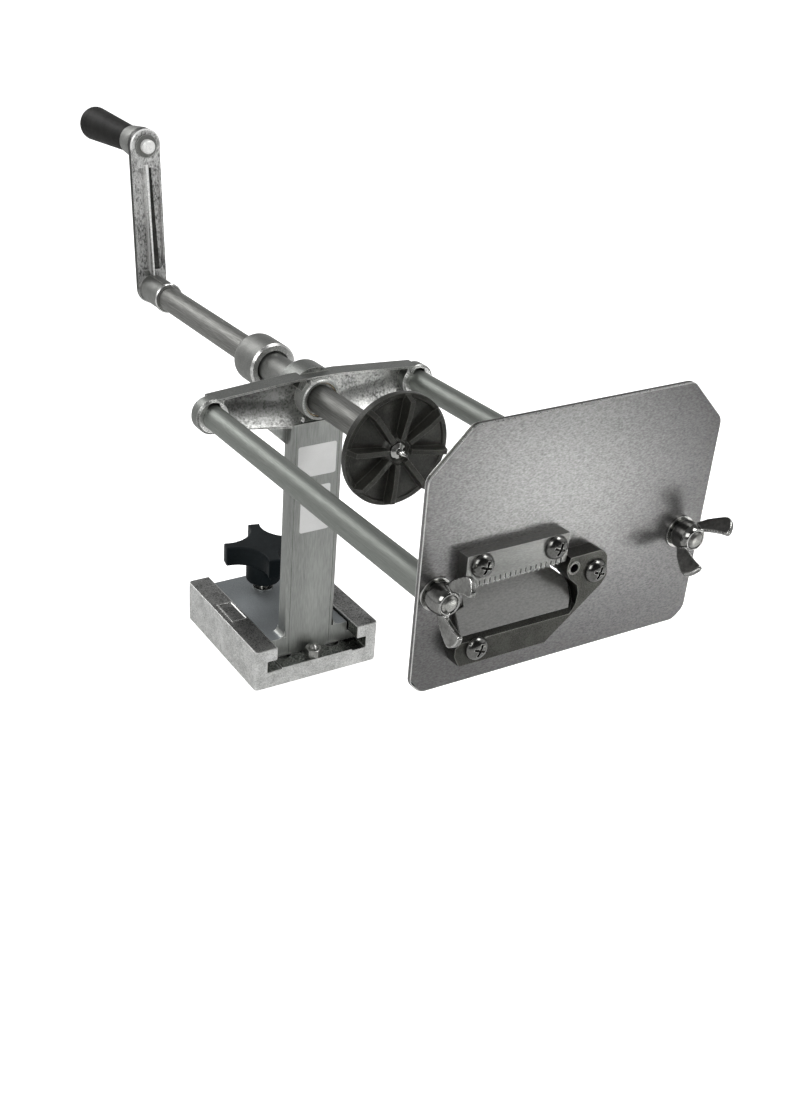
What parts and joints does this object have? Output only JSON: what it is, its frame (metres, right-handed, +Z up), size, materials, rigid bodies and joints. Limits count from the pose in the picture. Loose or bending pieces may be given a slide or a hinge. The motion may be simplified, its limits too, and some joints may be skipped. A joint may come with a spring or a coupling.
{
  "type": "spiralizer with crank",
  "caption": "Hand-cranked spiral cutter: a cast carriage on a slotted base, rods out to a blade plate, and a sliding, turning shaft with a finned push plate and a crank.",
  "frame": {"origin": "the centre of the base block's flat underside", "axes": "+X to the right seen from the blade plate, +Y from the blade plate towards the crank, +Z up"},
  "size_m": [0.1812, 0.6713, 0.3343],
  "materials": {
    "cast_alloy": "sand cast, tumbled, faintly mottled",
    "rod_alloy": "satin drawn bar",
    "plate_alloy": "tumbled sheet, soft mottling",
    "shaft_steel": "turned, dull satin",
    "blade_steel": "ground bright",
    "holder_steel": "dark satin",
    "bright_plate": "nickel plated",
    "crank_alloy": "cast, vibration polished",
    "coated_casting": "dark charcoal coating on a light casting",
    "black_plastic": "moulded, slight sheen",
    "bronze": "oil-soaked bearing bronze"
  },
  "bodies": {
    "base": {"base_block": "cast_alloy", "stop_stud": "bright_plate", "stop_nut": "bright_plate"},
    "carriage": {"frame_casting": "cast_alloy", "hub_bushing": "bronze", "knob_washer": "bright_plate", "pressure_pad": "bronze", "rod_left": "rod_alloy", "rod_right": "rod_alloy", "rod_screws": "holder_steel", "plate_studs": "bright_plate", "front_plate": "plate_alloy", "plate_washers": "bright_plate", "clamp_bar": "plate_alloy", "slitter_blades": "blade_steel", "blade_holder": "holder_steel", "slicing_blade": "blade_steel", "core_tube": "blade_steel", "bar_screws": "bright_plate", "holder_screws": "bright_plate"},
    "knob": {"lock_knob": "black_plastic", "lock_screw": "bright_plate"},
    "nut_left": {"wing_nut_left": "bright_plate"},
    "nut_right": {"wing_nut_right": "bright_plate"},
    "sleeve": {"guide_sleeve": "shaft_steel", "stop_collar": "shaft_steel", "collar_screw": "holder_steel"},
    "crank_shaft": {"shaft": "shaft_steel", "push_plate": "coated_casting", "push_plate_screw": "bright_plate", "crank_arm": "crank_alloy", "arm_pin": "holder_steel", "grip_bolt": "bright_plate", "grip_washer": "bright_plate"},
    "grip": {"grip_ferrule": "rod_alloy", "hand_grip": "black_plastic"}
  },
  "joints": [
    {"name": "carriage_slide", "type": "slide", "parent": "base", "child": "carriage", "axis": [0, 1, 0], "range_m": [0, 0.11]},
    {"name": "knob_turn", "type": "hinge", "parent": "carriage", "child": "knob", "pos_m": [0, 0.0285, 0.05], "axis": [0, 0, 1], "continuous": true},
    {"name": "left_nut_turn", "type": "hinge", "parent": "carriage", "child": "nut_left", "pos_m": [-0.077, -0.29, 0.208], "axis": [0, -1, 0], "continuous": true},
    {"name": "right_nut_turn", "type": "hinge", "parent": "carriage", "child": "nut_right", "pos_m": [0.077, -0.29, 0.208], "axis": [0, -1, 0], "continuous": true},
    {"name": "crank_turn", "type": "hinge", "parent": "carriage", "child": "sleeve", "pos_m": [0, -0.02, 0.208], "axis": [0, -1, 0], "continuous": true},
    {"name": "shaft_feed", "type": "slide", "parent": "sleeve", "child": "crank_shaft", "axis": [0, 1, 0], "range_m": [-0.138, 0.082]},
    {"name": "grip_spin", "type": "hinge", "parent": "crank_shaft", "child": "grip", "pos_m": [0, 0.3, 0.32046], "axis": [0, 1, 0], "continuous": true}
  ]
}
